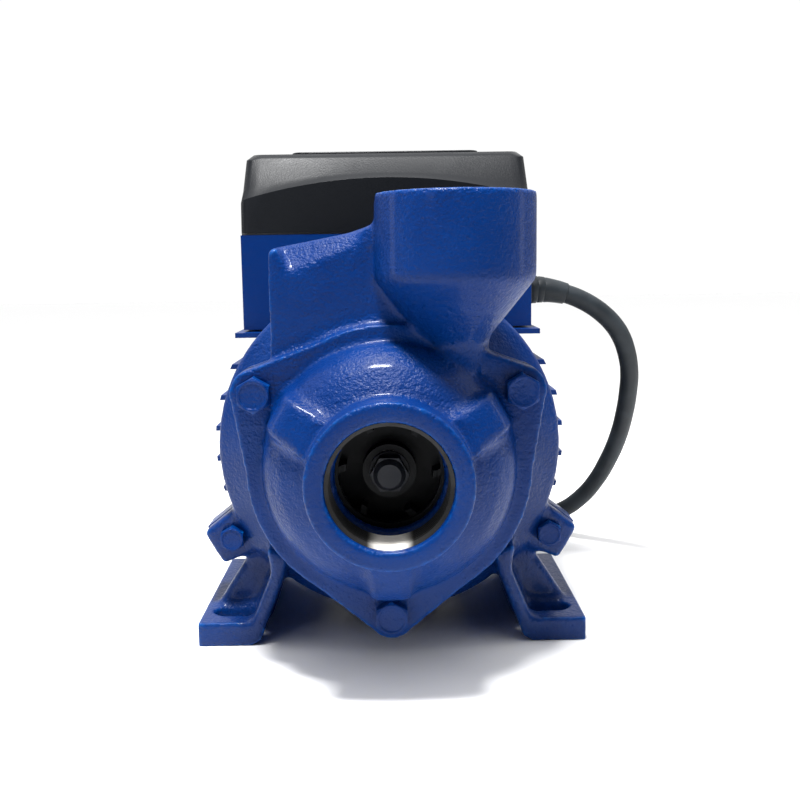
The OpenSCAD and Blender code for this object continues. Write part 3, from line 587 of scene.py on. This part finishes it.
bootShape = {
    # radius, distance from the inside of the wall, mm
    "outline": [
        (7.2, 0), (9.8, 0.4), (9.9, 3.0), (7.2, 3.2), (7.2, 8.0), (8.4, 8.1), (8.6, 8.8), (8.5, 10.6), (7.8, 11.6),
        (7.2, 13.6), (6.7, 13.9), (7.0, 14.6), (6.8, 16.8), (6.4, 17.1), (6.6, 17.8), (6.4, 20.2), (6.1, 20.5),
        (6.2, 21.2), (5.9, 24.0), (5.6, 28.0), (5.3, 31.6), (4.9, 32.0),
    ],
    "straight": 15.5,  # it bends down with the lead from here
    "bend": 55.0,
}


def addBoot(shape):
    low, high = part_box("strain_relief")
    start = Vector((low.x, (low.y + high.y) / 2, (low.z + high.z) / 2))
    columns = 48

    def place(column, level):
        radius, reach = shape["outline"][level]
        turn = max(reach - shape["straight"], 0) / shape["bend"]
        along = min(reach, shape["straight"]) + shape["bend"] * math.sin(turn)
        middle = start + Vector((along, 0, shape["bend"] * (math.cos(turn) - 1))) * mm
        angle = 2 * math.pi * column / columns
        out = Vector((math.sin(turn) * math.sin(angle), math.cos(angle), math.cos(turn) * math.sin(angle)))
        return middle + out * radius * mm

    bm = bmesh.new()
    ringLoft(bm, columns, len(shape["outline"]), place)
    boot = addPiece("strainBoot", bm, "cord_rubber", "housing", ["strain_relief"], crease=50)
    addRounding(boot, 0.25, 40)
    return boot


leadBoot = addBoot(bootShape)
Vector(lead["route"][0]) * mm


# sand castings: the merged CAD shape, remeshed so that every edge and corner is softened as cast

castings = {
    "pumpCasting": {
        "node": "pump_body",
        "voxel": 1.15,
        "passes": 3,
        "faces": 150000,
        # extra softening where walls meet: low corner, high corner (x, station, height), passes
        "fillets": [
            ((-16, 37, 86), (8, 75, 112), 12),
            ((-60, 12, 8), (-20, 35.2, 50), 26),
            ((20, 12, 8), (60, 35.2, 50), 26),
            ((-14, 12, -64), (14, 35.2, -24), 26),
            ((-50, 38, 50), (12, 44, 62), 6),
            ((0, 10, 60), (60, 74, 80), 5),
            ((-52, 39, 76), (-8, 46, 97), 6),
            ((5, 20, 44), (50, 44, 60), 8),
        ],
    },
    "bracketCasting": {
        "node": "motor_bracket",
        "finish": glossEnamel,
        "voxel": 1.3,
        "passes": 3,
        "faces": 170000,
        "fillets": [
            ((-66, 60, -76), (-44, 166, -30), 7),
            ((44, 60, -76), (66, 166, -30), 7),
            ((-84, 86, -75), (-55, 100, -20), 5),
            ((55, 86, -75), (84, 100, -20), 5),
        ],
    },
}


def addCasting(name, shape):
    node = shape["node"]
    piece = addPiece(name, mergedCopy(node), nodeSlot[node], nodeBody[node], [node], shape.get("finish"))
    remesh = piece.modifiers.new("remesh", "REMESH")
    remesh.mode = "VOXEL"
    remesh.voxel_size = shape["voxel"] * mm
    applyModifiers(piece)
    bm = bmesh.new()
    bm.from_mesh(piece.data)
    smoothed(bm, bm.verts, shape["passes"])
    for lowCorner, highCorner, passes in shape["fillets"]:
        low, high = at(*lowCorner), at(*highCorner)
        inside = [v for v in bm.verts if all(low[i] < v.co[i] < high[i] for i in range(3))]
        smoothed(bm, inside, passes)
    bm.to_mesh(piece.data)
    bm.free()
    triangles = 2 * len(piece.data.polygons)
    if triangles > shape["faces"]:
        thin = piece.modifiers.new("thin", "DECIMATE")
        thin.ratio = shape["faces"] / triangles
        applyModifiers(piece)
    piece.data.shade_smooth()
    print(name, "has", len(piece.data.polygons), "faces")


for castingName, castingShape in castings.items():
    addCasting(castingName, castingShape)


# pipe threads, cut bare in both ports

threadShape = {
    "root": 23.8,
    "crest": 22.35,
    "pitch": 2.309,
    "turns": 7,
    "flatFrom": 0.42,  # the crest's flat, as shares of the pitch
    "flatTo": 0.58,
    "sunk": 1.0,  # first root below the mouth
    "wall": 0.5,
    "stepsPerTurn": 60,
    "weld": 2e-5,  # metres
}


def addThread(name, mount, shape):
    # one tooth turned along a helix, seen from inside the port
    data = next(m for m in frame["record"]["mounts"] if m["name"] == mount)
    outwards = Vector(data["axis"])
    mouth = Vector(data["pos_m"]) + outwards * data["dims"]["length_mm"] / 2 * mm
    side = Vector((1, 0, 0))
    bm = bmesh.new()
    pitch = shape["pitch"]
    root, crest = shape["root"], shape["crest"]
    tooth = [(root, 0.0), (crest, pitch * shape["flatFrom"]), (crest, pitch * shape["flatTo"]), (root, pitch)]
    verts = []
    for radius, reach in tooth:
        verts.append(bm.verts.new(mouth - outwards * (reach + shape["sunk"]) * mm + side * radius * mm))
    for first, second in zip(verts, verts[1:]):
        bm.edges.new((first, second))
    bmesh.ops.spin(
        bm,
        geom=bm.verts[:] + bm.edges[:],
        cent=mouth,
        axis=outwards,
        dvec=-outwards * pitch / shape["stepsPerTurn"] * mm,
        angle=2 * math.pi * shape["turns"],
        steps=shape["stepsPerTurn"] * shape["turns"],
        use_merge=False,
    )
    bmesh.ops.remove_doubles(bm, verts=bm.verts, dist=shape["weld"])
    bmesh.ops.recalc_face_normals(bm, faces=bm.faces)
    lean = sum(f.normal.dot(f.calc_center_median() - mouth) for f in bm.faces)
    if lean > 0:
        bmesh.ops.reverse_faces(bm, faces=bm.faces)
    bmesh.ops.solidify(bm, geom=bm.faces[:], thickness=shape["wall"] * mm)
    addPiece(name, bm, "enamel", "housing", finish=threadFinish, crease=25)


addThread("suctionThread", "suction_port", threadShape)
addThread("dischargeThread", "discharge_port", threadShape)
print("threads cut")


# hexagon screws, painted over with the castings

screwSets = {
    "bodyScrews": {"node": "body_bolts", "flats": 12.5, "head": 5.5, "dish": 0.3},
    "bracketHexScrews": {"node": "bracket_screws", "flats": 10.0, "head": 4.5, "dish": 0.25},
}
# the top of a head: radii as shares of half the flats, then of the chamfer
headShape = {"chamfer": 0.95, "chamferSlope": 30, "rim": 0.9, "dish": 0.82, "columns": 48}


def hexRadius(angle, flats):
    # distance from the middle to the flat at an angle
    sector = (angle % (math.pi / 3)) - math.pi / 6
    return flats / 2 / math.cos(sector)


def addHexScrews(name, shape):
    node = shape["node"]
    bm = mergedCopy(node)
    # the shanks stay as they are; each head is made again with its chamfer
    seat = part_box(node)[0].y + shape["head"] * mm
    heads = [v for v in bm.verts if v.co.y < seat - 0.0002]
    middles = []
    for vert in heads:
        spot = next((m for m in middles if (m[0] - vert.co).length < shape["flats"] * 1.3 * mm), None)
        if spot is None:
            middles.append([vert.co.copy(), []])
            spot = middles[-1]
        spot[1].append(vert.co.copy())
    centres = [sum((c for c in group), Vector()) / len(group) for _, group in middles]
    bmesh.ops.delete(bm, geom=heads, context="VERTS")
    flats, head, columns = shape["flats"], shape["head"], headShape["columns"]
    for centre in centres:
        top = Vector((centre.x, seat, centre.z))

        def place(column, level):
            angle = 2 * math.pi * column / columns + math.pi / 6
            edge = hexRadius(angle, flats)
            chamfer = flats / 2 * headShape["chamfer"]
            rise = head - max(edge - chamfer, 0) * math.tan(math.radians(headShape["chamferSlope"]))
            dish = (chamfer * headShape["dish"], head - shape["dish"])
            steps = [(edge, 0), (edge, rise), (chamfer, head), (chamfer * headShape["rim"], head), dish]
            radius, up = steps[level]
            return top + Vector((radius * math.sin(angle), -up, radius * math.cos(angle))) * mm

        ringLoft(bm, columns, 5, place)
    piece = addPiece(name, bm, nodeSlot[node], nodeBody[node], [node], crease=28)
    addRounding(piece, 0.35, 28)


for screwName, screwShape in screwSets.items():
    addHexScrews(screwName, screwShape)
print("hexagon screws made")


# terminal cover: upright front under a crowned ridge, a slope back from it and a raised lid panel

coverShape = {
    "halfWidths": [65.5, 65.3, 64.7, 63.4, 60.6],
    "insets": [0.0, 0.0, 5.6, 9.6, 12.6],
    "bottom": 94.5,
    "ridgeMiddle": 118.3,
    "ridgeDrop": 7.1,  # at ridgeSpread from the middle
    "ridgeSpread": 56.6,
    "corner": 127.8,
    "fold": 0.3,  # where the slope folds, as a share of the way from ridge to corner
    "lid": 130.1,
    "wall": 2.6,
    "turn": 3.5,  # radius of the four upright corners
    "panelHalfWidth": 43.0,
    "panelInset": 15.5,
    "panelRise": 1.4,
    "panelSunk": 0.2,
    "panelTurn": 5,
}


def addCover(shape):
    low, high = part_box("terminal_cover")
    front = (low.y - faceY) / mm
    back = (high.y - faceY) / mm
    side = 18  # columns on each side of the rectangle
    corners = [(-1, -1), (1, -1), (1, 1), (-1, 1), (-1, -1)]

    def place(column, level):
        edge, step = divmod(column, side)
        share = step / side
        across = corners[edge][0] * (1 - share) + corners[edge + 1][0] * share
        along = corners[edge][1] * (1 - share) + corners[edge + 1][1] * share
        x = across * shape["halfWidths"][level]
        station = (front + back) / 2 + along * ((back - front) / 2 - shape["insets"][level])
        ridge = shape["ridgeMiddle"] - shape["ridgeDrop"] * (x / shape["ridgeSpread"]) ** 2
        middle = ridge + (shape["corner"] - ridge) * shape["fold"]
        up = [shape["bottom"], ridge, middle, shape["corner"], shape["lid"]][level]
        return at(x, station, up)

    bm = bmesh.new()
    ringLoft(bm, 4 * side, len(shape["halfWidths"]), place, capStart=False)
    tag = bm.verts.layers.int["column"]
    upright = [e for e in bm.edges if e.verts[0][tag] == e.verts[1][tag] and e.verts[0][tag] % side == 0]
    bevelCorners(bm, upright, shape["turn"], 4)
    bmesh.ops.remove_doubles(bm, verts=bm.verts, dist=1e-5)
    bmesh.ops.recalc_face_normals(bm, faces=bm.faces)
    bmesh.ops.solidify(bm, geom=bm.faces[:], thickness=shape["wall"] * mm)
    cover = addPiece("terminalCover", bm, "cover_plastic", "housing", ["terminal_cover"], crease=48)
    addRounding(cover, 0.7, 40, 2)
    bm = bmesh.new()
    bmesh.ops.create_cube(bm, size=1)
    length = back - front - 2 * shape["panelInset"]
    size = Vector((2 * shape["panelHalfWidth"], length, 2 * shape["panelRise"])) * mm
    bmesh.ops.scale(bm, vec=size, verts=bm.verts)
    bmesh.ops.translate(bm, vec=at(0, (front + back) / 2, shape["lid"] - shape["panelSunk"]), verts=bm.verts)
    upright = [e for e in bm.edges if abs(e.verts[0].co.z - e.verts[1].co.z) > 0.5 * mm]
    bevelCorners(bm, upright, shape["panelTurn"], 5)
    panel = addPiece("coverPanel", bm, "cover_plastic", "housing")
    addRounding(panel, 0.4, 40, 2)


addCover(coverShape)
print("terminal cover made")


# other CAD shapes with their edges broken

finishedCopies = {
    "motor_casing": 0.7,
    "rear_shield": 0.6,
    "fan_cover": 0.8,
    "fan": 0.5,
    "cover_screws": 0.25,
    "shield_screws": 0.25,
    "fan_cover_screws": 0.2,
    "terminal_block": 0.5,
    "terminal_gasket": 0.2,
    "capacitor": 0.8,
    "impeller_nut": 0.4,
    "impeller": 0.35,
    "impeller_washer": 0.2,
}
# painted shade: the nut, washer and impeller inside the suction port take the darkened finishes
portShadeFinish = {"impeller_nut": wetSteel, "impeller_washer": wetSteel, "impeller": portShadePlastic}


def addFinished(node, width):
    bm = mergedCopy(node)
    bmesh.ops.dissolve_limit(bm, angle_limit=math.radians(flatWithin), verts=bm.verts, edges=bm.edges)
    name = "".join(part.capitalize() for part in node.split("_"))
    name = name[0].lower() + name[1:] + "Finished"
    piece = addPiece(name, bm, nodeSlot[node], nodeBody[node], [node], portShadeFinish.get(node), 32)
    addRounding(piece, width, 35)


for copyNode, copyWidth in finishedCopies.items():
    addFinished(copyNode, copyWidth)
print("edges broken on the other parts")


# studio: pale floor, white sky behind, bright above and dark in front

studio = {
    "floorSize": 8.0,
    "backdrop": 1.02,
    "skyDark": 0.02,
    "skyBright": 1.75,
    "skyUp": 0.9,
    "skyBack": 0.4,
    "skyFrom": 0.15,
    "skyTo": 0.95,
}
lamps = {
    # place, aim, size, watts
    "overhead": ((-0.06, -0.16, 0.80), (0, 0.0, 0.10), (0.16, 0.10), 13.0),
    "frontLeft": ((-0.60, -0.85, 0.40), (0, 0, 0.09), (0.2, 0.3), 0.5),
    "rightSide": ((0.80, 0.12, 0.30), (0, 0.03, 0.08), (0.15, 0.5), 0.8),
    "leftSide": ((-0.80, 0.12, 0.30), (0, 0.03, 0.08), (0.15, 0.5), 0.8),
}


def addStudio(setup, lights):
    bm = bmesh.new()
    bmesh.ops.create_grid(bm, x_segments=2, y_segments=2, size=setup["floorSize"] / 2)
    mesh = bpy.data.meshes.new("studioFloor")
    bm.to_mesh(mesh)
    bm.free()
    floor = bpy.data.objects.new("studioFloor", mesh)
    scene.collection.objects.link(floor)

    def build(g):
        soft = g.grain(60.0, 2.0)
        color = g.mix(soft, tint(0.92, 0.92, 0.92), tint(0.94, 0.94, 0.94))
        return {"Base Color": color, "Roughness": g.band(soft, 0, 1, 0.75, 0.85)}

    mesh.materials.append(shader("paleFloor", build, Specular_IOR_Level=0.1))
    world = bpy.data.worlds.new("studioSky")
    scene.world = world
    world.use_nodes = True
    g = Graph(world.node_tree)
    toward = {"Vector": g.node("TexCoord", output=0)}
    behind = g.node("SeparateXYZ", None, toward, output=1)
    above = g.node("SeparateXYZ", None, toward, output=2)
    slant = above * setup["skyUp"] + behind * setup["skyBack"]
    light = g.band(slant, setup["skyFrom"], setup["skyTo"], setup["skyDark"], setup["skyBright"])
    seen = g.node("LightPath", output=0)
    strength = seen * setup["backdrop"] + (1.0 - seen) * light
    sky = g.node("Background", None, {"Color": tint(1, 1, 1), "Strength": strength})
    g.node("OutputWorld", None, {"Surface": sky})
    for name, (place, aim, size, watts) in lights.items():
        data = bpy.data.lights.new(name, "AREA")
        data.shape = "RECTANGLE"
        data.size, data.size_y = size
        data.energy = watts
        lamp = bpy.data.objects.new(name, data)
        scene.collection.objects.link(lamp)
        lamp.location = place
        lamp.rotation_euler = (Vector(aim) - Vector(place)).to_track_quat("-Z", "Y").to_euler()
    scene.view_settings.view_transform = "Standard"


addStudio(studio, lamps)
print("studio lit")
